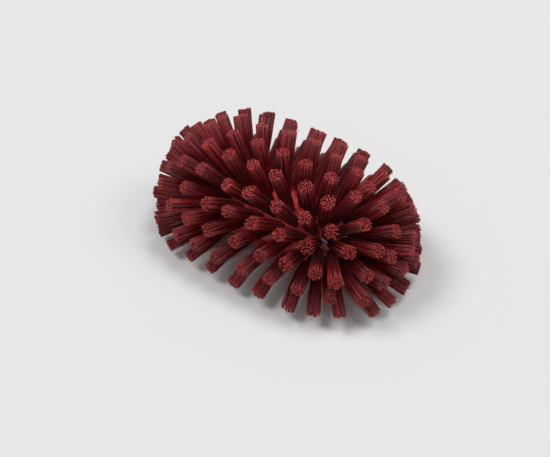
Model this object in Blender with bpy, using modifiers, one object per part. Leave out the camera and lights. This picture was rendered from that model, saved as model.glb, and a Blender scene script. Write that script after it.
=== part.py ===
"""Tank brush head: an oval moulded block with a handle socket underneath and tufts fanning
from its dome. Run with: blender --background --python part.py
Units are metres, +Z is up, and the socket's end face stands on Z = 0."""

import math

import bmesh
import bpy
from mathutils import Vector

# Bristle tips, measured over the ends of the tufts
TIP_LENGTH = 0.205
TIP_WIDTH = 0.129
TIP_RISE = 0.0655
TIP_STRAIGHT = 0.0675
TIP_RIM_DROP = 0.0048

# Moulded block, measured over the faces that the tufts stand on
BLOCK_LENGTH = 0.124
BLOCK_WIDTH = 0.050
BLOCK_RISE = 0.025
BLOCK_STRAIGHT = 0.0585
RIM_HEIGHT = 0.016
UNDERSIDE_HEIGHT = 0.008
UNDERSIDE_ROUND = 0.003
WALL_DRAFT = 0.0005

# Handle socket
SOCKET_BORE = 0.023
SOCKET_WALL = 0.0065
SOCKET_DEPTH = 0.030
SOCKET_ROOT_ROUND = 0.003
SOCKET_EDGE = 0.0008

# Backing slices and the tufts on them
SLICE_THICKNESS = 0.003
CLEARANCE = 0.0003
TUFT_PITCH = 0.020
CREST_PITCH = 0.0138
TUFT_ROOT_DIAMETER = 0.0046
TUFT_TIP_DIAMETER = 0.0100
OVERRUN = 0.002

# Counts and shares
ROWS_TO_TOP = 6
END_TUFTS = (9, 10, 9, 7, 5, 4)
STRANDS_PER_TUFT = 3
STRAND_SPREAD = math.radians(46.0)
STRAND_CORE_share = 0.26
ROOT_DEPTH_share = 0.5
BLOCK_FULLNESS_share = 0.88
END_FULLNESS_share = 0.63
SIDE_FULLNESS_share = 0.79
END_FACETS = 11
TURN_FACETS = 32
ROUND_FACETS = 3

ROW_STEP = math.radians(90.0) / ROWS_TO_TOP
SIDES = ("front", "right_end", "back", "left_end")

COLOURS = {
    "block": (0.30, 0.012, 0.016, 1.0),
    "bristle": (0.115, 0.008, 0.011, 1.0),
}


def clear_scene():
    for thing in list(bpy.data.objects):
        bpy.data.objects.remove(thing, do_unlink=True)


def make_collection(name):
    group = bpy.data.collections.new(name)
    bpy.context.scene.collection.children.link(group)
    return group


def make_material(name, colour, roughness):
    material = bpy.data.materials.new(name)
    material.use_nodes = True
    shader = material.node_tree.nodes["Principled BSDF"]
    shader.inputs["Base Color"].default_value = colour
    shader.inputs["Roughness"].default_value = roughness
    shader.inputs["Metallic"].default_value = 0.0
    material.diffuse_color = colour
    return material


def new_object(name, mesh, group, material=None):
    thing = bpy.data.objects.new(name, mesh)
    group.objects.link(thing)
    if material:
        mesh.materials.append(material)
    return thing


def mesh_from_bmesh(name, work):
    bmesh.ops.recalc_face_normals(work, faces=work.faces)
    mesh = bpy.data.meshes.new(name)
    work.to_mesh(mesh)
    work.free()
    return mesh


def hide_cutter(thing):
    thing.hide_render = True
    thing.display_type = "WIRE"


def add_boolean(thing, other, operation):
    step = thing.modifiers.new(operation.title(), "BOOLEAN")
    step.operation = operation
    step.solver = "EXACT"
    step.object = other


# Oval tracks: a place on a row is its distance along the tips from the middle of the front side

def tip_radii(height_angle):
    across = TIP_WIDTH / 2 * math.cos(height_angle) ** SIDE_FULLNESS_share
    along = (TIP_LENGTH - TIP_STRAIGHT) / 2 * math.cos(height_angle) ** END_FULLNESS_share
    return along, across


def end_arc(height_angle):
    along, across = tip_radii(height_angle)
    return math.pi * math.sqrt((along ** 2 + across ** 2) / 2)


def half_track(height_angle):
    return TIP_STRAIGHT + end_arc(height_angle)


def split_track(distance, height_angle):
    """Gives the side sign, the straight share (-1 to 1) and the end angle of a track distance."""
    whole = 2 * half_track(height_angle)
    distance = (distance + whole / 2) % whole - whole / 2
    hand = 1.0 if distance >= 0 else -1.0
    run = abs(distance)
    straight = TIP_STRAIGHT / 2
    arc = end_arc(height_angle)
    if run <= straight:
        return hand, run / straight, 0.0
    if run >= straight + arc:
        return hand, (2 * straight + arc - run) / straight, math.pi
    return hand, 1.0, math.pi * (run - straight) / arc


def tip_point(distance, height_angle):
    hand, share, turn = split_track(distance, height_angle)
    along, across = tip_radii(height_angle)
    x = hand * (share * TIP_STRAIGHT / 2 + along * math.sin(turn))
    y = -across * math.cos(turn)
    lift = (TIP_RISE + TIP_RIM_DROP) * math.sin(height_angle) - TIP_RIM_DROP
    return Vector((x, y, RIM_HEIGHT + lift))


def block_point(hand, share, turn, height_angle, depth):
    """A point of the dome, at a depth under the face that the tufts stand on."""
    reach = math.cos(height_angle) ** BLOCK_FULLNESS_share
    along = ((BLOCK_LENGTH - BLOCK_STRAIGHT) / 2 - depth) * reach
    across = (BLOCK_WIDTH / 2 - depth) * reach
    x = hand * (share * BLOCK_STRAIGHT / 2 + along * math.sin(turn))
    y = -across * math.cos(turn)
    z = RIM_HEIGHT + (BLOCK_RISE - depth) * math.sin(height_angle)
    return Vector((x, y, z))


def root_point(distance, height_angle, depth):
    return block_point(*split_track(distance, height_angle), height_angle, depth)


def row_direction(distance, height_angle):
    """The way that a row runs past a tuft's root."""
    ahead = root_point(distance + CLEARANCE, height_angle, 0.0)
    return (ahead - root_point(distance - CLEARANCE, height_angle, 0.0)).normalized()


# Rows of tufts

def row_angle(row):
    return row * ROW_STEP


def straight_steps(row):
    """Pitches from the middle to one side's tufts, staggered by half a pitch from row to row."""
    if (ROWS_TO_TOP - row) % 2 == 0:
        return (-2, -1, 0, 1, 2)
    return (-1.5, -0.5, 0.5, 1.5)


def straight_places(row):
    return [step * TUFT_PITCH for step in straight_steps(row)]


def end_gap(row):
    """The even spacing of the tufts that go round one end, and its two half tracks."""
    reach = half_track(row_angle(row)) - 2 * max(straight_places(row))
    return reach / (END_TUFTS[row] + 1)


def side_places(row, side):
    """Track distances of the tufts of one node, and the distances where its slice stops."""
    half = half_track(row_angle(row))
    last = max(straight_places(row))
    gap = end_gap(row)
    if side in ("front", "back"):
        middle = 0.0 if side == "front" else half
        places = [middle + place for place in straight_places(row)]
        return places, middle - last - gap / 2, middle + last + gap / 2
    places = [last + gap * (step + 1) for step in range(END_TUFTS[row])]
    start, stop = last + gap / 2, half - last - gap / 2
    if side == "left_end":
        return [-place for place in reversed(places)], -stop, -start
    return places, start, stop


def facet_places(height_angle, start, stop):
    """The places between start and stop where the dome's facets meet."""
    straight = TIP_STRAIGHT / 2
    arc = end_arc(height_angle)
    half = half_track(height_angle)
    marks = [straight + arc * step / END_FACETS for step in range(END_FACETS + 1)]
    marks += [2 * half - mark for mark in marks]
    marks = marks + [-mark for mark in marks]
    margin = arc / END_FACETS / 4
    inside = sorted({round(mark, 9) for mark in marks if start + margin < mark < stop - margin})
    return [start] + inside + [stop]


# Strands

def strand_corners(centre, axis, side_way, radius, turn):
    """Four corners of one strand: one near the tuft's middle and three on its rim."""
    up_way = axis.cross(side_way)
    corners = []
    for angle, reach in ((0.0, STRAND_CORE_share), (-STRAND_SPREAD, 1.0), (0.0, 1.0), (STRAND_SPREAD, 1.0)):
        way = side_way * math.cos(turn + angle) + up_way * math.sin(turn + angle)
        corners.append(centre + way * radius * reach)
    return corners


def add_prism(work, lower, upper):
    low = [work.verts.new(point) for point in lower]
    high = [work.verts.new(point) for point in upper]
    count = len(low)
    work.faces.new(list(reversed(low)))
    work.faces.new(high)
    for index in range(count):
        after = (index + 1) % count
        work.faces.new((low[index], low[after], high[after], high[index]))


def add_tuft(work, tip, root, base, row_way):
    axis = (tip - root).normalized()
    side_way = (row_way - axis * row_way.dot(axis)).normalized()
    length = (tip - root).length
    sunk = (root - base).length
    slope = (TUFT_TIP_DIAMETER - TUFT_ROOT_DIAMETER) / 2 / length
    base_radius = TUFT_ROOT_DIAMETER / 2 - slope * sunk
    for number in range(STRANDS_PER_TUFT):
        turn = 2 * math.pi * number / STRANDS_PER_TUFT
        lower = strand_corners(base, axis, side_way, base_radius, turn)
        upper = strand_corners(tip, axis, side_way, TUFT_TIP_DIAMETER / 2, turn)
        add_prism(work, lower, upper)


def tuft_ends(distance, row):
    angle = row_angle(row)
    tip = tip_point(distance, angle)
    root = root_point(distance, angle, 0.0)
    return tip, root, tuft_base(tip, root), row_direction(distance, angle)


def crest_tuft_ends(step):
    """A tuft of the top row, which leans out from its hole on the crest."""
    tip = Vector((step * TUFT_PITCH, 0.0, RIM_HEIGHT + TIP_RISE))
    root = Vector((step * CREST_PITCH, 0.0, RIM_HEIGHT + BLOCK_RISE))
    return tip, root, tuft_base(tip, root), Vector((1.0, 0.0, 0.0))


def tuft_base(tip, root):
    return root - (tip - root).normalized() * SLICE_THICKNESS * ROOT_DEPTH_share


def strands_mesh(name, tufts):
    work = bmesh.new()
    for tuft in tufts:
        add_tuft(work, *tuft)
    return mesh_from_bmesh(name, work)


# Backing slices

def slice_edge_angle():
    """Half the clearance between two slices, as an angle at the slices' inner face."""
    return CLEARANCE / 2 / (BLOCK_RISE - SLICE_THICKNESS)


def slice_mesh(name, row, start, stop):
    """One sector of a row's backing: a curved plate of even thickness."""
    middle = row_angle(row)
    lift = ROW_STEP / 2 - slice_edge_angle()
    angles = [middle - lift, middle + lift]
    trim = CLEARANCE / 2 * TIP_STRAIGHT / BLOCK_STRAIGHT
    places = facet_places(middle, start + trim, stop - trim)
    sheets = []
    for depth in (0.0, SLICE_THICKNESS):
        sheets.append([[block_point(*split_track(place, middle), angle, depth)
                        for place in places] for angle in angles])
    work = bmesh.new()
    outer, inner = [[[work.verts.new(point) for point in line] for line in sheet] for sheet in sheets]
    for sheet in (outer, inner):
        for low, high in zip(sheet, sheet[1:]):
            for index in range(len(places) - 1):
                work.faces.new((low[index], low[index + 1], high[index + 1], high[index]))
    for edge in (0, -1):
        for index in range(len(places) - 1):
            work.faces.new((outer[edge][index], outer[edge][index + 1],
                            inner[edge][index + 1], inner[edge][index]))
        for line in range(len(angles) - 1):
            work.faces.new((outer[line][edge], outer[line + 1][edge],
                            inner[line + 1][edge], inner[line][edge]))
    return mesh_from_bmesh(name, work)


def top_slice_mesh(name):
    """The oval plate over the crest, between the two highest rows."""
    edge = ROW_STEP * (ROWS_TO_TOP - 0.5) + slice_edge_angle()
    work = bmesh.new()
    sheets = []
    for depth in (0.0, SLICE_THICKNESS):
        rim = [work.verts.new(block_point(*place, edge, depth)) for place in oval_places()]
        crest = [work.verts.new(block_point(hand, 1.0, 0.0, math.radians(90.0), depth))
                 for hand in (1.0, -1.0)]
        sheets.append((rim, crest))
    for rim, crest in sheets:
        cap_oval(work, rim, crest)
    join_loops(work, sheets[0][0], sheets[1][0])
    return mesh_from_bmesh(name, work)


# Lofting

def oval_places():
    """Side sign, straight share and end angle of each corner of an oval section."""
    right = [(1.0, 1.0, math.pi * step / END_FACETS) for step in range(END_FACETS + 1)]
    left = [(-1.0, 1.0, math.pi * step / END_FACETS) for step in range(END_FACETS, -1, -1)]
    return right + left


def join_loops(work, first, second):
    count = len(first)
    for index in range(count):
        after = (index + 1) % count
        work.faces.new((first[index], first[after], second[after], second[index]))


def cap_oval(work, rim, crest):
    """Closes an oval loop with a crest line between two points."""
    end_count = END_FACETS + 1
    right_tip, left_tip = crest
    for index in range(end_count - 1):
        work.faces.new((rim[index], rim[index + 1], right_tip))
        work.faces.new((rim[end_count + index], rim[end_count + index + 1], left_tip))
    work.faces.new((rim[end_count - 1], rim[end_count], left_tip, right_tip))
    work.faces.new((rim[-1], rim[0], right_tip, left_tip))


def block_body_mesh(name):
    """The dome under the slices, the ledge that the rim slices stand on, and the wall below."""
    under = SLICE_THICKNESS + CLEARANCE
    ledge = -ROW_STEP / 2 - slice_edge_angle()
    sections = []
    half_rows = 2 * ROWS_TO_TOP - 1
    for step in range(half_rows, 0, -2):
        sections.append([block_point(*place, step * ROW_STEP / 2, under) for place in oval_places()])
    sections.append([block_point(*place, ledge, under) for place in oval_places()])
    sections.append([block_point(*place, ledge, 0.0) for place in oval_places()])
    for step in range(ROUND_FACETS + 1):
        turn = math.radians(90.0) * step / ROUND_FACETS
        inset = WALL_DRAFT + UNDERSIDE_ROUND * (1 - math.cos(turn))
        height = UNDERSIDE_HEIGHT + UNDERSIDE_ROUND * (1 - math.sin(turn))
        sections.append([wall_point(place, ledge, inset, height) for place in oval_places()])
    work = bmesh.new()
    loops = [[work.verts.new(point) for point in section] for section in sections]
    crest = [work.verts.new(block_point(hand, 1.0, 0.0, math.radians(90.0), under))
             for hand in (1.0, -1.0)]
    cap_oval(work, loops[0], crest)
    for first, second in zip(loops, loops[1:]):
        join_loops(work, first, second)
    work.faces.new(loops[-1])
    return mesh_from_bmesh(name, work)


def wall_point(place, ledge, inset, height):
    point = block_point(*place, ledge, inset)
    return Vector((point.x, point.y, height))


# Turned pieces

def turned_object(name, profile, group, material=None):
    """Turns a profile of (radius, height) about Z; it runs from the top down its outer side."""
    mesh = bpy.data.meshes.new(name)
    points = [(radius, 0.0, height) for radius, height in profile]
    mesh.from_pydata(points, [(index, index + 1) for index in range(len(points) - 1)], [])
    thing = new_object(name, mesh, group, material)
    screw = thing.modifiers.new("Turn", "SCREW")
    screw.axis = "Z"
    screw.angle = math.radians(360.0)
    screw.steps = TURN_FACETS
    screw.render_steps = TURN_FACETS
    screw.use_merge_vertices = True
    screw.merge_threshold = 0.00001
    return thing


def socket_outer_radius():
    return SOCKET_BORE / 2 + SOCKET_WALL


def neck_profile():
    radius = socket_outer_radius()
    top = UNDERSIDE_HEIGHT + OVERRUN
    points = [(0.0, top), (radius + SOCKET_ROOT_ROUND, top)]
    for step in range(ROUND_FACETS + 1):
        turn = math.radians(90.0) * step / ROUND_FACETS
        points.append((radius + SOCKET_ROOT_ROUND * (1 - math.sin(turn)),
                       UNDERSIDE_HEIGHT - SOCKET_ROOT_ROUND * (1 - math.cos(turn))))
    points += [(radius, SOCKET_EDGE), (radius - SOCKET_EDGE, 0.0), (0.0, 0.0)]
    return points


def bore_profile():
    radius = SOCKET_BORE / 2
    mouth = radius + SOCKET_EDGE + OVERRUN
    return [(0.0, SOCKET_DEPTH), (radius, SOCKET_DEPTH), (radius, SOCKET_EDGE),
            (mouth, -OVERRUN), (0.0, -OVERRUN)]


def make_block(parts, cutters, material):
    body = new_object("block", block_body_mesh("block"), parts, material)
    neck = turned_object("neck_form", neck_profile(), cutters)
    bore = turned_object("bore_cutter", bore_profile(), cutters)
    add_boolean(body, neck, "UNION")
    add_boolean(body, bore, "DIFFERENCE")
    hide_cutter(neck)
    hide_cutter(bore)
    shade(body)
    return body


def shade(thing):
    thing.data.shade_smooth()
    thing.data.set_sharp_from_angle(angle=math.radians(30.0))


def make_tuft_node(name, plate, tufts, parts, cutters, material):
    node = new_object(name, plate, parts, material)
    strands = new_object(name + "_strands", strands_mesh(name + "_strands", tufts), cutters)
    add_boolean(node, strands, "UNION")
    hide_cutter(strands)
    return node


def row_name(row, side):
    return "bristles_row{}_{}".format(row + 1, side)


def make_bristles(parts, cutters, material):
    for row in range(ROWS_TO_TOP):
        for side in SIDES:
            places, start, stop = side_places(row, side)
            name = row_name(row, side)
            tufts = [tuft_ends(place, row) for place in places]
            plate = slice_mesh(name, row, start, stop)
            make_tuft_node(name, plate, tufts, parts, cutters, material)
    crest = [crest_tuft_ends(step) for step in straight_steps(ROWS_TO_TOP)]
    name = "bristles_top"
    make_tuft_node(name, top_slice_mesh(name), crest, parts, cutters, material)


def main():
    clear_scene()
    parts = make_collection("tank_brush")
    cutters = make_collection("cutters")
    block_material = make_material("block_red", COLOURS["block"], 0.28)
    bristle_material = make_material("bristle_red", COLOURS["bristle"], 0.5)
    make_block(parts, cutters, block_material)
    make_bristles(parts, cutters, bristle_material)


main()
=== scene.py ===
"""Looks of the tank brush: a glossy red block with several dozen filaments in every tuft.
The layout functions repeat the CAD model's, in metres and in the same frame."""

import math

import bpy
import bmesh
import numpy as np
from mathutils import Matrix, Vector


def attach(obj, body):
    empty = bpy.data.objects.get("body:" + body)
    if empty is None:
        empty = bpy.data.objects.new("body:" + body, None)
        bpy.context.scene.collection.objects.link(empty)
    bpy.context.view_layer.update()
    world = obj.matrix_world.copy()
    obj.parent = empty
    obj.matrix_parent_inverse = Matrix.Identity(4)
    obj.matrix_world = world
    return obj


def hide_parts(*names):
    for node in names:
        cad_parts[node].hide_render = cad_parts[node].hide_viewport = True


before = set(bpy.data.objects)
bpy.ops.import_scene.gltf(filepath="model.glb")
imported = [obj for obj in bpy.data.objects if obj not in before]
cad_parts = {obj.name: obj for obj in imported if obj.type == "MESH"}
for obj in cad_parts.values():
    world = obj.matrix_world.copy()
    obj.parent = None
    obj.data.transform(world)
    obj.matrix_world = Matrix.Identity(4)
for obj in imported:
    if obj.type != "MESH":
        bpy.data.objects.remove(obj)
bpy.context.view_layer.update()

# Bristle tips, measured over the ends of the tufts
TIP_LENGTH = 0.205
TIP_WIDTH = 0.129
TIP_RISE = 0.0655
TIP_STRAIGHT = 0.0675
TIP_RIM_DROP = 0.0048

# Moulded block
BLOCK_LENGTH = 0.124
BLOCK_WIDTH = 0.050
BLOCK_RISE = 0.025
BLOCK_STRAIGHT = 0.0585
RIM_HEIGHT = 0.016
SLICE_THICKNESS = 0.003
CLEARANCE = 0.0003

# Rows of tufts; END_TUFTS counts the tufts round each end, the lowest row first
TUFT_PITCH = 0.020
CREST_PITCH = 0.0138
TUFT_ROOT_DIAMETER = 0.0058
CLOSE_ROOT_DIAMETER = 0.0049
CLOSE_ROWS = ("bristles_row6_left_end", "bristles_row6_right_end")
TUFT_TIP_DIAMETER = 0.0106
ROWS_TO_TOP = 6
END_TUFTS = (9, 10, 9, 7, 5, 4)
BLOCK_FULLNESS_SHARE = 0.88
END_FULLNESS_SHARE = 0.63
SIDE_FULLNESS_SHARE = 0.79
ROW_STEP = math.radians(90.0) / ROWS_TO_TOP
SIDES = ("front", "right_end", "back", "left_end")

# Filaments of a tuft
FILAMENTS = 96
FILAMENTS_MORE_OR_LESS = 5
FILAMENT_DIAMETER = 0.00070
FILAMENT_SIDES = 4
FILAMENT_STEPS = (-0.055, 0.0, 0.03, 0.09, 0.28, 0.6, 1.0)
FLARE_POWER = 0.35
STEEP_RISE = 0.8
CLUMPS = 17
CLUMP_PULL = 0.16
GOLDEN_ANGLE = 2.399963
ANY_TURN = 6.28
SEED = 4100

# Unevenness of the filaments: angles in radians, lengths in metres, the rest as shares of the tuft's radius
FILAMENT_TURN = 0.25
CLUMP_TURN = 0.2
SPREAD_RANGE = (0.82, 0.97)
TIP_WANDER = 0.05
LARGEST_SQUEEZE = 0.12
CLUMP_CUT = 0.0003
FILAMENT_CUT = 0.00015
EDGE_CUT = 0.0007
LEAN_WANDER = 0.0003
BOW = 0.0004

# Tone of a filament: its clump's share of it, and the shape of both draws
CLUMP_TONE_SHARE = 0.55
TONE_BETA = (1.2, 1.8)

# Stray filaments
STRAYS_PER_TUFT = 0.9
STRAY_DIAMETER = 0.00030
STRAY_REACH_RANGE = (1.5, 2.3)
LEAST_STRAY_REACH = 0.3
STRAY_SHORTFALL = 0.006
STRAY_BOW_TIMES = 4

# Blind holes and the dome's skin
HOLE_CLEARANCE = 0.0001
HOLE_DEPTH = 0.0024
HOLE_PLUG_RISE = 0.003
HOLE_SIDES = 16
END_STEPS = 32
DOME_STEPS = 26
DOME_TOP_ANGLE = math.radians(89.0)
SHARP_ANGLE = math.radians(35.0)

# Socket thread: a section is pairs of reach from the bore's wall and height
SOCKET_BORE = 0.023
THREAD_PITCH = 0.0050
THREAD_ROUNDS = 4.2
THREAD_STEPS_PER_ROUND = 48
THREAD_START = 0.0040
THREAD_FADE_STEPS = 14
THREAD_END_HEIGHT_SHARE = 0.35
THREAD_SECTION = ((0.0003, -0.0014), (-0.0006, -0.0009), (-0.0011, -0.0002),
                  (-0.0011, 0.0002), (-0.0006, 0.0009), (0.0003, 0.0014))

# Tuft ends read off the enlarged photograph, in its pixels:
# round the outline from the left end, then inside
TUFT_ENDS_SEEN = (
    (153.5, 192), (158.5, 178.5), (161, 165), (168, 153.5), (174.5, 140), (186.5, 137), (194.5, 124.5),
    (208.5, 124.5), (219.5, 113), (238, 117), (244.5, 109.5), (269, 112), (262, 124.5), (291, 120),
    (287, 132.5), (317, 130), (310, 142.5), (342, 140), (366, 152), (389, 167.5), (404, 186), (414, 209),
    (419, 231), (418, 262), (405, 272), (405, 288), (391.5, 303.5), (374, 314), (338, 309), (315, 312),
    (287, 307.5), (257, 295), (233, 284), (209, 269), (189, 257), (169, 246), (159, 231), (156, 218),
    (158, 204),
    (232, 132), (229, 155), (207, 143), (200, 168), (183, 187), (242, 186), (248, 192), (205, 203),
    (226, 211), (251, 223), (276, 205), (304, 218), (330, 232), (306, 247), (278, 235), (259, 256),
    (285, 265), (315, 274), (337, 283), (349, 253), (365, 225), (328, 202), (356, 195.5), (305.5, 187),
    (276, 175), (252, 163), (282.5, 152), (306.5, 163), (332, 177), (358, 172), (382, 177), (385, 206),
    (396, 231), (380, 251), (392, 257), (368, 277), (384, 284), (367, 302), (234, 242), (185, 219),
    (215, 259), (241, 270), (268, 280), (297, 291), (175, 236), (411, 243), (337, 147), (363, 158),
    (194, 247), (207, 231), (201, 151), (180, 162), (400, 195), (411, 224), (420, 240), (412.5, 252))

# Match of the tufts to those ends: the farthest end that a tuft may take, the longest lean, the least cosine
# between a tuft and the way to the camera, how many matched tufts one without an end follows, and how much
# longer a match counts for each row upwards
LEAN_REACH = 0.0095
LONGEST_LEAN = 0.0050
FACING_AWAY = -0.3
NEIGHBOURS = 3
LOWER_FIRST = 0.0007

# Light of the world on the object, and the level of the backdrop that is seen and mirrored
WORLD_LIGHT = 0.12
BACKDROP = 0.81

# Lamps: name, strength, azimuth, elevation and angular size in degrees
LAMPS = (("key", 0.95, 145.0, 72.0, 20.0), ("side", 0.52, 120.0, 50.0, 22.0),
         ("second", 1.24, 300.0, 60.0, 24.0), ("front", 0.40, 30.0, 60.0, 30.0))

# Half the floor's side
FLOOR_REACH = 3

# Camera, fitted to the tuft ends in the photograph
CAMERA_AZIMUTH = 37.02
CAMERA_ELEVATION = 44.97
CAMERA_ROLL = -1.92
CAMERA_DISTANCE = 0.61385
CAMERA_FOCAL = 871.0
CAMERA_OFFSET = (-0.0083, -0.0033)
CAMERA_SENSOR = 36.0
CAMERA_CLIP_START = 0.01
IMAGE_WIDTH = 550
IMAGE_HEIGHT = 457


# Layout of the tufts

def tip_radii(angle):
    across = TIP_WIDTH / 2 * math.cos(angle) ** SIDE_FULLNESS_SHARE
    along = (TIP_LENGTH - TIP_STRAIGHT) / 2 * math.cos(angle) ** END_FULLNESS_SHARE
    return along, across


def end_arc(angle):
    along, across = tip_radii(angle)
    return math.pi * math.sqrt((along ** 2 + across ** 2) / 2)


def half_track(angle):
    return TIP_STRAIGHT + end_arc(angle)


def split_track(distance, angle):
    """A distance round a row's oval as its hand, share of the straight and turn round the end."""
    whole = 2 * half_track(angle)
    distance = (distance + whole / 2) % whole - whole / 2
    hand = 1.0 if distance >= 0 else -1.0
    run = abs(distance)
    straight = TIP_STRAIGHT / 2
    arc = end_arc(angle)
    if run <= straight:
        return hand, run / straight, 0.0
    if run >= straight + arc:
        return hand, (2 * straight + arc - run) / straight, math.pi
    return hand, 1.0, math.pi * (run - straight) / arc


def tip_point(distance, angle):
    hand, share, turn = split_track(distance, angle)
    along, across = tip_radii(angle)
    x = hand * (share * TIP_STRAIGHT / 2 + along * math.sin(turn))
    lift = (TIP_RISE + TIP_RIM_DROP) * math.sin(angle) - TIP_RIM_DROP
    return Vector((x, -across * math.cos(turn), RIM_HEIGHT + lift))


def block_point(hand, share, turn, angle, depth):
    reach = math.cos(angle) ** BLOCK_FULLNESS_SHARE
    along = ((BLOCK_LENGTH - BLOCK_STRAIGHT) / 2 - depth) * reach
    across = (BLOCK_WIDTH / 2 - depth) * reach
    x = hand * (share * BLOCK_STRAIGHT / 2 + along * math.sin(turn))
    return Vector((x, -across * math.cos(turn), RIM_HEIGHT + (BLOCK_RISE - depth) * math.sin(angle)))


def root_point(distance, angle):
    return block_point(*split_track(distance, angle), angle, 0.0)


def straight_steps(row):
    return (-2, -1, 0, 1, 2) if (ROWS_TO_TOP - row) % 2 == 0 else (-1.5, -0.5, 0.5, 1.5)


def side_places(row, side):
    half = half_track(row * ROW_STEP)
    straights = [step * TUFT_PITCH for step in straight_steps(row)]
    last = max(straights)
    if side in ("front", "back"):
        middle = 0.0 if side == "front" else half
        return [middle + place for place in straights]
    gap = (half - 2 * last) / (END_TUFTS[row] + 1)
    places = [last + gap * (step + 1) for step in range(END_TUFTS[row])]
    return places if side == "right_end" else [-place for place in reversed(places)]


def tuft_ends(distance, row):
    angle = row * ROW_STEP
    ahead = root_point(distance + CLEARANCE, angle) - root_point(distance - CLEARANCE, angle)
    return tip_point(distance, angle), root_point(distance, angle), ahead.normalized()


def crest_tuft_ends(step):
    tip = Vector((step * TUFT_PITCH, 0.0, RIM_HEIGHT + TIP_RISE))
    return tip, Vector((step * CREST_PITCH, 0.0, RIM_HEIGHT + BLOCK_RISE)), Vector((1.0, 0.0, 0.0))


def tuft_groups():
    """Node name to the list of its tufts, each a tip, a root and the way its row runs."""
    groups = {}
    for row in range(ROWS_TO_TOP):
        for side in SIDES:
            name = "bristles_row{}_{}".format(row + 1, side)
            groups[name] = [tuft_ends(place, row) for place in side_places(row, side)]
    groups["bristles_top"] = [crest_tuft_ends(step) for step in straight_steps(ROWS_TO_TOP)]
    return groups


def root_diameter(node):
    return CLOSE_ROOT_DIAMETER if node in CLOSE_ROWS else TUFT_ROOT_DIAMETER


# Lean of the tufts, as the camera sees them

def source_way(azimuth, elevation):
    """Unit vector towards a camera or lamp at these angles in degrees."""
    turn, lift = math.radians(azimuth), math.radians(elevation)
    return Vector((math.sin(turn) * math.cos(lift), -math.cos(turn) * math.cos(lift), math.sin(lift)))


def camera_axes():
    """Unit vectors to the right, up and back of the camera."""
    turn, roll = math.radians(CAMERA_AZIMUTH), math.radians(CAMERA_ROLL)
    back = source_way(CAMERA_AZIMUTH, CAMERA_ELEVATION)
    level = Vector((math.cos(turn), math.sin(turn), 0.0))
    above = back.cross(level)
    across = level * math.cos(roll) + above * math.sin(roll)
    return across, above * math.cos(roll) - level * math.sin(roll), back


def camera_place():
    across, upward, back = camera_axes()
    return (Vector((0.0, 0.0, RIM_HEIGHT)) + back * CAMERA_DISTANCE
            + across * CAMERA_OFFSET[0] + upward * CAMERA_OFFSET[1])


def leans_to_ends(tip):
    """Vectors across the view from a tuft's tip to each end that is seen in the photograph."""
    across, upward, back = camera_axes()
    eye = camera_place()
    depth = (eye - tip).dot(back)
    leans = []
    for x, y in TUFT_ENDS_SEEN:
        aside = (across * (x - IMAGE_WIDTH / 2) - upward * (y - IMAGE_HEIGHT / 2)) * depth / CAMERA_FOCAL
        leans.append(eye + aside - back * depth - tip)
    return leans


def matched_leans(groups):
    """Leans of the tufts that get an end, the closest first and lower rows a little before higher ones."""
    _, _, back = camera_axes()
    near = []
    for position, (node, tufts) in enumerate(groups.items()):
        start = LOWER_FIRST * (position // len(SIDES))
        for number, (tip, root, _) in enumerate(tufts):
            if (tip - root).normalized().dot(back) < FACING_AWAY:
                continue
            near += [(lean.length + start, node, number, end, lean)
                     for end, lean in enumerate(leans_to_ends(tip)) if lean.length <= LEAN_REACH]
    leans, taken = {}, set()
    for _, node, number, end, lean in sorted(near, key=lambda match: match[:4]):
        if end not in taken and (node, number) not in leans:
            taken.add(end)
            leans[node, number] = lean * min(1.0, LONGEST_LEAN / lean.length)
    return leans


def tuft_leans(groups):
    """Lean of every tuft's tip: to its end in the photograph, or without one as its neighbours lean."""
    seen = matched_leans(groups)
    leans = {}
    for node, tufts in groups.items():
        for number, (tip, _, _) in enumerate(tufts):
            close = sorted(seen, key=lambda key: (groups[key[0]][key[1]][0] - tip).length)[:NEIGHBOURS]
            shared = sum((seen[key] for key in close), Vector()) / NEIGHBOURS
            leans[node, number] = seen.get((node, number), shared)
    return leans


# Node helpers

def new_material(name):
    material = bpy.data.materials.new(name)
    material.use_nodes = True
    return material, material.node_tree, material.node_tree.nodes["Principled BSDF"]


def add_node(tree, kind, **inputs):
    node = tree.nodes.new(kind)
    for key, value in inputs.items():
        node.inputs[key.replace("_", " ")].default_value = value
    return node


def ramp(tree, source, stops):
    node = tree.nodes.new("ShaderNodeValToRGB")
    while len(node.color_ramp.elements) > len(stops):
        node.color_ramp.elements.remove(node.color_ramp.elements[-1])
    while len(node.color_ramp.elements) < len(stops):
        node.color_ramp.elements.new(1.0)
    for element, (place, colour) in zip(node.color_ramp.elements, stops):
        element.position = place
        element.color = colour + (1.0,)
    tree.links.new(source, node.inputs["Fac"])
    return node.outputs["Color"]


def object_coordinates(tree):
    return tree.nodes.new("ShaderNodeTexCoord").outputs["Object"]


def noise(tree, place, scale, detail=2.0, roughness=0.5):
    node = add_node(tree, "ShaderNodeTexNoise", Scale=scale, Detail=detail, Roughness=roughness)
    tree.links.new(place, node.inputs["Vector"])
    return node.outputs["Fac"]


def map_range(tree, source, low, high):
    node = add_node(tree, "ShaderNodeMapRange", To_Min=low, To_Max=high)
    tree.links.new(source, node.inputs["Value"])
    return node.outputs["Result"]


def multiply(tree, first, second):
    """Product of two colours, by the Mix node's colour sockets: 6 and 7 in, 2 out."""
    node = tree.nodes.new("ShaderNodeMix")
    node.data_type = "RGBA"
    node.blend_type = "MULTIPLY"
    factor, a, b = node.inputs[0], node.inputs[6], node.inputs[7]
    factor.default_value = 1.0
    tree.links.new(first, a)
    tree.links.new(second, b)
    return node.outputs[2]


def bump(tree, height, strength, distance):
    node = add_node(tree, "ShaderNodeBump", Strength=strength, Distance=distance)
    tree.links.new(height, node.inputs["Height"])
    return node.outputs["Normal"]


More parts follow.
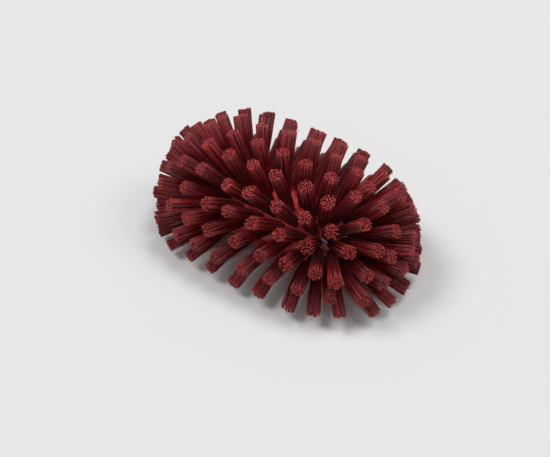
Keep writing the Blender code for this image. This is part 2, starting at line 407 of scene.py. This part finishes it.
def tone_colour(tree, stops):
    """Colour from the tone that every filament carries."""
    tone = tree.nodes.new("ShaderNodeAttribute")
    tone.attribute_name = "tone"
    return ramp(tree, tone.outputs["Fac"], stops)


def drift_colour(tree, scale, detail, dark):
    """A mottle from dark to white that a colour is multiplied by."""
    mottle = noise(tree, object_coordinates(tree), scale, detail)
    return ramp(tree, mottle, [(0.3, dark), (0.7, (1.0, 1.0, 1.0))])


# Materials

def block_material():
    """Glossy moulded polypropylene, with a faint mottle and an uneven polish."""
    material, tree, shader = new_material("moulded_red")
    place = object_coordinates(tree)
    mottle = noise(tree, place, scale=60.0, detail=4.0, roughness=0.55)
    colour = ramp(tree, mottle, [(0.25, (0.54, 0.024, 0.030)), (0.5, (0.60, 0.030, 0.036)),
                                 (0.75, (0.66, 0.040, 0.046))])
    gloss = map_range(tree, noise(tree, place, scale=140.0, detail=3.0), low=0.10, high=0.24)
    grain = noise(tree, place, scale=420.0, detail=3.0)
    tree.links.new(colour, shader.inputs["Base Color"])
    tree.links.new(gloss, shader.inputs["Roughness"])
    tree.links.new(bump(tree, grain, strength=0.25, distance=0.00008), shader.inputs["Normal"])
    shader.inputs["IOR"].default_value = 1.49
    shader.inputs["Specular IOR Level"].default_value = 0.34
    return material


def filament_material():
    """Dark red polyester; every filament has its own tone, and the colour drifts along it."""
    material, tree, shader = new_material("filament_red")
    colour = tone_colour(tree, [(0.0, (0.130, 0.019, 0.020)), (0.5, (0.265, 0.017, 0.020)),
                                (0.9, (0.54, 0.034, 0.040)), (1.0, (0.70, 0.09, 0.10))])
    drift = drift_colour(tree, scale=180.0, detail=3.0, dark=(0.72, 0.70, 0.70))
    tree.links.new(multiply(tree, colour, drift), shader.inputs["Base Color"])
    shader.inputs["Roughness"].default_value = 0.38
    shader.inputs["Specular IOR Level"].default_value = 0.26
    shader.inputs["Sheen Weight"].default_value = 0.07
    shader.inputs["Sheen Roughness"].default_value = 0.4
    shader.inputs["Sheen Tint"].default_value = (1.0, 0.74, 0.82, 1.0)
    return material


def end_material():
    """Cut ends of the filaments, lighter than their sides."""
    material, tree, shader = new_material("filament_cut_end")
    colour = tone_colour(tree, [(0.0, (0.17, 0.011, 0.011)), (0.5, (0.55, 0.033, 0.028)),
                                (1.0, (0.88, 0.12, 0.10))])
    drift = drift_colour(tree, scale=900.0, detail=2.0, dark=(0.8, 0.8, 0.8))
    tree.links.new(multiply(tree, colour, drift), shader.inputs["Base Color"])
    shader.inputs["Roughness"].default_value = 0.6
    return material


def floor_material():
    material, tree, shader = new_material("pale_floor")
    mottle = noise(tree, object_coordinates(tree), scale=3.0, detail=2.0)
    colour = ramp(tree, mottle, [(0.3, (0.812, 0.812, 0.812)), (0.7, (0.818, 0.818, 0.818))])
    tree.links.new(colour, shader.inputs["Base Color"])
    shader.inputs["Roughness"].default_value = 0.9
    shader.inputs["Specular IOR Level"].default_value = 0.0
    return material


# Mesh helpers

def add_object(name, data):
    thing = bpy.data.objects.new(name, data)
    bpy.context.scene.collection.objects.link(thing)
    return thing


def bridge(work, loops):
    """Faces between each ring of vertices and the next."""
    for low, high in zip(loops, loops[1:]):
        for index in range(len(low)):
            after = (index + 1) % len(low)
            work.faces.new((low[index], low[after], high[after], high[index]))


def finished_mesh(work, name):
    bmesh.ops.recalc_face_normals(work, faces=work.faces)
    mesh = bpy.data.meshes.new(name)
    work.to_mesh(mesh)
    work.free()
    return mesh


def cross_ways(tuft):
    """A tuft's axis, and the two unit vectors across it."""
    tip, root, row_way = tuft
    axis = (tip - root).normalized()
    side_way = (row_way - axis * row_way.dot(axis)).normalized()
    return axis, side_way, axis.cross(side_way)


# Filaments

def spiral(number, count, unevenness, chance):
    """Places spread evenly over a unit disc, each turned a little by chance, and how far out each is."""
    reach = np.sqrt((number % count + 0.5) / count)
    turn = number * GOLDEN_ANGLE + chance.uniform(0, ANY_TURN) + chance.normal(0, unevenness, len(number))
    return np.stack([reach * np.cos(turn), reach * np.sin(turn)], axis=1), reach


def tuft_paths(tuft, lean, root_width, chance):
    """Centre lines of one tuft's filaments (filaments, steps, xyz), with their tones and diameters."""
    axis, side_way, up_way = (np.array(way) for way in cross_ways(tuft))
    count = FILAMENTS + int(chance.integers(-FILAMENTS_MORE_OR_LESS, FILAMENTS_MORE_OR_LESS + 1))
    strays = int(chance.poisson(STRAYS_PER_TUFT))
    whole = count + strays
    spot, reach = spiral(np.arange(whole), count, FILAMENT_TURN, chance)
    clumps, _ = spiral(np.arange(CLUMPS), CLUMPS, CLUMP_TURN, chance)
    own = np.argmin(np.linalg.norm(spot[:, None] - clumps[None], axis=2), axis=1)
    spread = chance.uniform(*SPREAD_RANGE)
    pulled = spot + (clumps[own] - spot) * CLUMP_PULL
    tip_spot = (pulled + chance.normal(0, TIP_WANDER, (whole, 2))) * spread
    squeeze_turn = chance.uniform(0, math.pi)
    narrow = np.array([math.cos(squeeze_turn), math.sin(squeeze_turn)])
    tip_spot -= np.outer(tip_spot @ narrow, narrow) * chance.uniform(0.0, LARGEST_SQUEEZE)
    stray_reach = chance.uniform(*STRAY_REACH_RANGE, (strays, 1))
    tip_spot[count:] *= stray_reach / np.maximum(reach[count:, None], LEAST_STRAY_REACH)
    ways = np.stack([side_way, up_way])
    root_offset = spot @ ways * (root_width - FILAMENT_DIAMETER) / 2
    tip_offset = tip_spot @ ways * TUFT_TIP_DIAMETER / 2
    clump_cut = chance.normal(0, CLUMP_CUT, CLUMPS)
    cut = chance.normal(0, FILAMENT_CUT, whole) + clump_cut[own]
    cut = cut - EDGE_CUT * reach ** 2 * chance.uniform(0.0, 1.0)
    cut[count:] -= chance.uniform(0.0, STRAY_SHORTFALL, strays)
    tip_lean = np.array(lean) + chance.normal(0, LEAN_WANDER, 2) @ ways
    tip, root, _ = tuft
    low = np.array(root)
    high = np.array(tip) + tip_lean + axis * cut[:, None]
    bow = chance.normal(0, BOW, (whole, 2)) @ ways
    bow[count:] *= STRAY_BOW_TIMES
    paths = []
    for step in FILAMENT_STEPS:
        flare = max(step, 0.0) ** FLARE_POWER
        middle = low + (high - low) * step
        paths.append(middle + root_offset + (tip_offset - root_offset) * flare + bow * 4 * step * (1 - step))
    tones = CLUMP_TONE_SHARE * chance.beta(*TONE_BETA, CLUMPS)[own]
    tones = tones + (1 - CLUMP_TONE_SHARE) * chance.beta(*TONE_BETA, whole)
    diameters = np.full(whole, FILAMENT_DIAMETER)
    diameters[count:] = STRAY_DIAMETER
    return np.stack(paths, axis=1), tones, diameters


def filament_verts(paths, diameters):
    """A small polygon round every point of every centre line."""
    along = paths[:, -1] - paths[:, 0]
    along /= np.linalg.norm(along, axis=1)[:, None]
    steep = np.abs(along[:, 2:3]) >= STEEP_RISE
    helper = np.where(steep, [[1.0, 0.0, 0.0]], [[0.0, 0.0, 1.0]])
    first = np.cross(along, helper)
    first /= np.linalg.norm(first, axis=1)[:, None]
    second = np.cross(along, first)
    turns = np.arange(FILAMENT_SIDES) * 2 * math.pi / FILAMENT_SIDES
    ring = np.cos(turns)[None, :, None] * first[:, None] + np.sin(turns)[None, :, None] * second[:, None]
    verts = paths[:, :, None, :] + ring[:, None, :, :] * diameters[:, None, None, None] / 2
    return verts.reshape(-1, 3)


def filament_faces(count, steps):
    """Sides, free ends and feet of the filaments, as three lists of faces."""
    base = (np.arange(count) * steps * FILAMENT_SIDES)[:, None, None]
    level = (np.arange(steps - 1) * FILAMENT_SIDES)[None, :, None]
    side = np.arange(FILAMENT_SIDES)[None, None, :]
    after = (side + 1) % FILAMENT_SIDES
    quads = np.stack([base + level + side, base + level + FILAMENT_SIDES + side,
                      base + level + FILAMENT_SIDES + after, base + level + after], axis=-1)
    caps = base[:, 0] + (steps - 1) * FILAMENT_SIDES + np.arange(FILAMENT_SIDES)[None, ::-1]
    feet = base[:, 0] + np.arange(FILAMENT_SIDES)[None, :]
    return quads.reshape(-1, 4).tolist(), caps.tolist(), feet.tolist()


def filament_mesh(name, paths, tones, diameters):
    """Sweeps a small polygon along each centre line and closes both its ends."""
    count, steps, _ = paths.shape
    sides, caps, feet = filament_faces(count, steps)
    mesh = bpy.data.meshes.new(name)
    mesh.from_pydata(filament_verts(paths, diameters).tolist(), [], sides + caps + feet)
    mesh.materials.append(MATERIALS["filament"])
    mesh.materials.append(MATERIALS["end"])
    slots = [0] * len(sides) + [1] * len(caps) + [0] * len(feet)
    mesh.polygons.foreach_set("material_index", slots)
    mesh.polygons.foreach_set("use_smooth", [True] * len(sides) + [False] * (len(caps) + len(feet)))
    tone = mesh.attributes.new("tone", "FLOAT", "POINT")
    tone.data.foreach_set("value", np.repeat(tones, steps * FILAMENT_SIDES).astype(np.float32))
    mesh.update()
    return mesh


def make_tufts(groups):
    leans = tuft_leans(groups)
    for position, (node, tufts) in enumerate(groups.items()):
        chance = np.random.default_rng(SEED + position)
        made = [tuft_paths(tuft, leans[node, number], root_diameter(node), chance)
                for number, tuft in enumerate(tufts)]
        parts = [np.concatenate(part) for part in zip(*made)]
        piece = add_object(node.replace("bristles", "tufts"), filament_mesh(node + "_filaments", *parts))
        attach(piece, "root")
        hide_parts(node)


# Skin of the dome, with a blind hole for every tuft

def skin_sections(depth):
    """Ovals of the dome from its lower edge to near its top, at a depth below its face."""
    turns = [math.pi * step / END_STEPS for step in range(END_STEPS + 1)]
    places = [(1.0, 1.0, turn) for turn in turns] + [(-1.0, 1.0, turn) for turn in reversed(turns)]
    lowest = -ROW_STEP / 2 - CLEARANCE / 2 / (BLOCK_RISE - SLICE_THICKNESS)
    sections = []
    for step in range(DOME_STEPS):
        angle = lowest + (DOME_TOP_ANGLE - lowest) * step / (DOME_STEPS - 1)
        sections.append([block_point(*place, angle, depth) for place in places])
    return sections


def skin_mesh():
    """The dome's outer and inner faces, joined round their lower edge."""
    work = bmesh.new()
    edges = []
    for depth in (0.0, SLICE_THICKNESS):
        loops = [[work.verts.new(point) for point in section] for section in skin_sections(depth)]
        bridge(work, loops)
        work.faces.new(loops[-1])
        edges.append(loops[0])
    bridge(work, edges)
    return finished_mesh(work, "dome_skin")


def hole_mesh(groups):
    """A closed plug for every hole."""
    work = bmesh.new()
    turns = [2 * math.pi * step / HOLE_SIDES for step in range(HOLE_SIDES)]
    for node, tufts in groups.items():
        radius = (root_diameter(node) + HOLE_CLEARANCE) / 2
        for tuft in tufts:
            axis, side_way, up_way = cross_ways(tuft)
            ring = [(side_way * math.cos(turn) + up_way * math.sin(turn)) * radius for turn in turns]
            loops = [[work.verts.new(tuft[1] + axis * height + spoke) for spoke in ring]
                     for height in (-HOLE_DEPTH, HOLE_PLUG_RISE)]
            bridge(work, loops)
            work.faces.new(list(reversed(loops[0])))
            work.faces.new(loops[-1])
    return finished_mesh(work, "hole_forms")


def make_skin(groups):
    skin = add_object("block_skin", skin_mesh())
    holes = add_object("hole_forms", hole_mesh(groups))
    cut = skin.modifiers.new("Holes", "BOOLEAN")
    cut.operation = "DIFFERENCE"
    cut.solver = "EXACT"
    cut.object = holes
    bpy.context.view_layer.update()
    done = bpy.data.meshes.new_from_object(skin.evaluated_get(bpy.context.evaluated_depsgraph_get()))
    skin.modifiers.clear()
    skin.data = done
    bpy.data.objects.remove(holes)
    done.shade_smooth()
    done.set_sharp_from_angle(angle=SHARP_ANGLE)
    done.materials.clear()
    done.materials.append(MATERIALS["block"])
    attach(skin, "root")
    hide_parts(*groups)


# Socket thread

def thread_loop(work, step, steps):
    """The thread's section at one step of its helix, fading at both ends."""
    turn = 2 * math.pi * step / THREAD_STEPS_PER_ROUND
    fade = min(1.0, step / THREAD_FADE_STEPS, (steps - step) / THREAD_FADE_STEPS)
    height = THREAD_START + THREAD_PITCH * step / THREAD_STEPS_PER_ROUND
    tallness = THREAD_END_HEIGHT_SHARE + (1 - THREAD_END_HEIGHT_SHARE) * fade
    points = []
    for out, up in THREAD_SECTION:
        reach = SOCKET_BORE / 2 + (out if out > 0 else out * fade)
        point = (reach * math.cos(turn), reach * math.sin(turn), height + up * tallness)
        points.append(work.verts.new(point))
    return points


def make_thread():
    """A coarse rounded thread on the wall of the bore."""
    work = bmesh.new()
    steps = int(THREAD_ROUNDS * THREAD_STEPS_PER_ROUND)
    loops = [thread_loop(work, step, steps) for step in range(steps + 1)]
    bridge(work, loops)
    work.faces.new(loops[0])
    work.faces.new(list(reversed(loops[-1])))
    mesh = finished_mesh(work, "socket_thread")
    mesh.shade_smooth()
    mesh.materials.append(MATERIALS["block"])
    thread = add_object("socket_thread", mesh)
    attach(thread, "root")


# Stage

def make_floor():
    mesh = bpy.data.meshes.new("floor")
    corners = [(x * FLOOR_REACH, y * FLOOR_REACH, 0) for x, y in ((-1, -1), (1, -1), (1, 1), (-1, 1))]
    mesh.from_pydata(corners, [], [(0, 1, 2, 3)])
    mesh.materials.append(floor_material())
    add_object("floor", mesh)


def add_sun(name, strength, azimuth, elevation, size):
    light = bpy.data.lights.new(name, "SUN")
    light.energy = strength
    light.angle = math.radians(size)
    lamp = add_object(name, light)
    lamp.rotation_euler = source_way(azimuth, elevation).to_track_quat("Z", "Y").to_euler()


def make_light():
    """Four suns, and a world that lights the object faintly but is seen and mirrored as a pale backdrop."""
    world = bpy.data.worlds.new("studio")
    bpy.context.scene.world = world
    world.use_nodes = True
    tree = world.node_tree
    background = tree.nodes["Background"]
    background.inputs["Color"].default_value = (1.0, 1.0, 1.0, 1.0)
    rays = tree.nodes.new("ShaderNodeLightPath")
    seen = rays.outputs["Is Camera Ray"]
    for kind in ("Is Glossy Ray", "Is Transmission Ray"):
        either = tree.nodes.new("ShaderNodeMath")
        either.operation = "MAXIMUM"
        tree.links.new(seen, either.inputs[0])
        tree.links.new(rays.outputs[kind], either.inputs[1])
        seen = either.outputs["Value"]
    strength = map_range(tree, seen, low=WORLD_LIGHT, high=BACKDROP)
    tree.links.new(strength, background.inputs["Strength"])
    for lamp in LAMPS:
        add_sun(*lamp)


def make_camera():
    camera = bpy.data.cameras.new("camera")
    camera.sensor_width = CAMERA_SENSOR
    camera.lens = CAMERA_SENSOR * CAMERA_FOCAL / IMAGE_WIDTH
    camera.clip_start = CAMERA_CLIP_START
    across, upward, back = camera_axes()
    place = camera_place()
    thing = add_object("camera", camera)
    thing.matrix_world = Matrix((
        (across.x, upward.x, back.x, place.x),
        (across.y, upward.y, back.y, place.y),
        (across.z, upward.z, back.z, place.z),
        (0.0, 0.0, 0.0, 1.0)))
    bpy.context.scene.camera = thing


MATERIALS = {"block": block_material(), "filament": filament_material(), "end": end_material()}
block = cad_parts["block"]
block.data.materials.clear()
block.data.materials.append(MATERIALS["block"])
groups = tuft_groups()
make_tufts(groups)
make_skin(groups)
make_thread()
make_floor()
make_light()
make_camera()
bpy.context.scene.view_settings.view_transform = "Standard"
